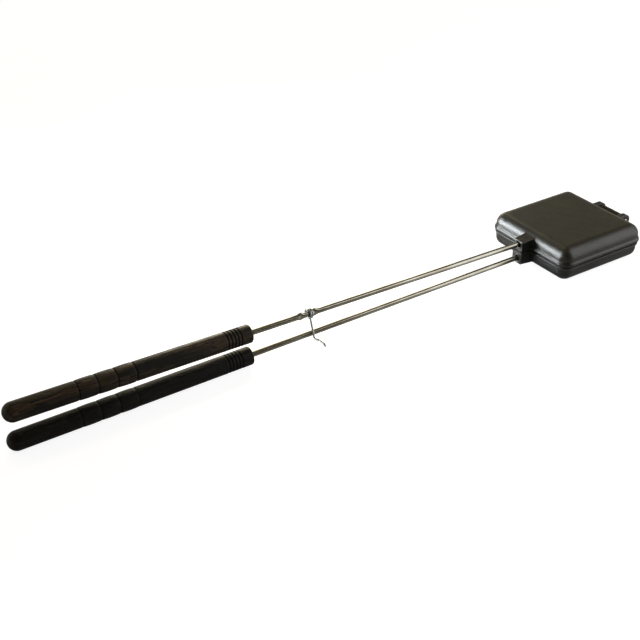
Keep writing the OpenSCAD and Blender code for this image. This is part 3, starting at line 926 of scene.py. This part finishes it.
# %% Both handles
TURNED = {"upper": {"Grain_shift": 0.0, "Fine_depth": 0.0007, "Ring_depth": 0.00035},
          "lower": {"Grain_shift": 7.3, "Fine_depth": 0.00045, "Ring_depth": 0.0002}}
for half, sizes in TURNED.items():
    handle = run_tree(f"{half}_wood_handle", lathe, wood[half], **sizes)
    mount = (Matrix.Translation((SOCKET_FACE * MM, 0, (SEAM + ROD_UP[half]) * MM))
             @ Matrix.Rotation(RISE[half], 4, "Y") @ Matrix.Translation((-ROD_FREE * MM, 0, 0)))
    handle.data.transform(mount)
    form = bmesh.new()
    form.from_mesh(handle.data)
    if form.calc_volume(signed=True) < 0:
        bmesh.ops.reverse_faces(form, faces=form.faces)
    form.to_mesh(handle.data)
    print(handle.name, "holds", round(form.calc_volume() * 1e9), "mm3")
    form.free()
    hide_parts(f"{half}_handle")
    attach(handle, half)

# %% [markdown]
# ## The pins
# The hinge pin and the two cross pins keep their CAD shape, because a plain pin is a plain
# cylinder. They only get the zinc finish.

# %% Pins
for name in ("hinge_pin", "upper_cross_pin", "lower_cross_pin"):
    mesh = frame["nodes"][name].data
    mesh.materials.clear()
    mesh.materials.append(zinc)
    print(name, "is zinc")

# %% [markdown]
# ## Floor, world and lamps
# The photograph has a plain white ground. Here the floor is paper that glows for the camera,
# so it stays white and keeps a faint shadow. The world is white for the camera too, and both
# are for rays that pass through something clear. As a light the world is warm and bright near
# the back horizon, and dim above and in front, because the dark iron mirrors it.
#
# The gloss on the photographed object shows where its lamps stood. A low one behind on the left
# draws the band of light along the near left round of the pans. It has a grid, and light
# linking keeps it off the rods, which would mirror it as a white line from behind. A weak one
# faces the right side, and a warm one behind the handles draws the line along their tops.

# %% Floor
FLOOR_WIDTH, FLOOR_GAP, MIRRORED = 60, 0.0002, 0.05
bpy.ops.mesh.primitive_plane_add(size=FLOOR_WIDTH, location=(0, 0, -FLOOR_GAP))
floor = bpy.context.object
floor.name = "floor"
paper, tree, shader, place = new_material("white_paper")
shader.inputs["Base Color"].default_value = (0.5, 0.5, 0.5, 1)
shader.inputs["Roughness"].default_value = 0.18
rays = add(tree, "ShaderNodeLightPath").outputs
seen = maths(tree, "MAXIMUM", rays["Is Camera Ray"], rays["Is Transmission Ray"])
seen = maths(tree, "MULTIPLY_ADD", rays["Is Glossy Ray"], MIRRORED, seen)
tree.links.new(seen, shader.inputs["Emission Strength"])
shader.inputs["Emission Color"].default_value = (0.88, 0.88, 0.89, 1)
floor.data.materials.append(paper)
print(floor.name, FLOOR_WIDTH, "m wide")

# %% World
world = bpy.data.worlds.new("studio")
bpy.context.scene.world = world
bpy.context.scene.view_settings.view_transform = "Standard"
world.use_nodes = True
tree = world.node_tree
ray_way = add(tree, "ShaderNodeTexCoord").outputs["Generated"]
axes = add(tree, "ShaderNodeSeparateXYZ", {0: ray_way}).outputs
HORIZON, CEILING = (0.85, 0.79, 0.62, 1), (0.22, 0.2, 0.135, 1)
height = ramp(tree, axes["Z"], 0.03, 0.32, smooth=True)
shade = mix(tree, height, HORIZON, CEILING)
dim = ramp(tree, axes["Y"], 0.2, -0.5, 1.0, 0.25, smooth=True)
rays = add(tree, "ShaderNodeLightPath").outputs
seen = maths(tree, "MAXIMUM", rays["Is Camera Ray"], rays["Is Transmission Ray"])
shade = mix(tree, seen, shade, (1, 1, 1, 1))
sky = tree.nodes["Background"]
tree.links.new(shade, sky.inputs["Color"])
tree.links.new(maths(tree, "MAXIMUM", dim, seen), sky.inputs["Strength"])
print("world:", len(tree.nodes), "nodes")


# %% Lamps
def softbox(name, aim, direction, distance, size, radiance, colour=(1, 1, 1), reach=None):
    """A soft flat lamp that faces a point. A grid can limit its reach, in degrees."""
    data = bpy.data.lights.new(name, "AREA")
    data.shape = "RECTANGLE"
    data.size, data.size_y = size
    data.energy = radiance * math.pi * size[0] * size[1]
    if reach:
        half = math.radians(reach)
        data.spread = 2 * half
        data.energy *= 1 - half / math.tan(half)
    data.color = colour
    lamp = bpy.data.objects.new(name, data)
    bpy.context.scene.collection.objects.link(lamp)
    aim = Vector(aim)
    lamp.location = aim + Vector(direction).normalized() * distance
    lamp.rotation_euler = (lamp.location - aim).to_track_quat("Z", "Y").to_euler()
    print(name, size, "m,", round(data.energy, 2), "W")
    return lamp


HEAD, GRIP = (0, 0, 0.02), (-0.35, 0, 0.03)
low_back = softbox("low_back_box", HEAD, (-0.80, 0.59, 0.09), distance=1.0, size=(0.5, 0.5),
                   radiance=64, colour=(0.94, 1.0, 1.03), reach=22)
irons = bpy.data.collections.new("irons_and_floor")
for name in ("upper_pan", "lower_pan", "floor"):
    irons.objects.link(bpy.data.objects[name])
low_back.light_linking.receiver_collection = irons
softbox("side_box", HEAD, (0.66, -0.56, 0.46), distance=0.8, size=(0.76, 0.95), radiance=1.97)
softbox("wall_box", GRIP, (0.475, 0.80, 0.30), distance=0.7, size=(0.46, 0.45),
        radiance=5.5, colour=(1.0, 0.89, 0.68), reach=32)
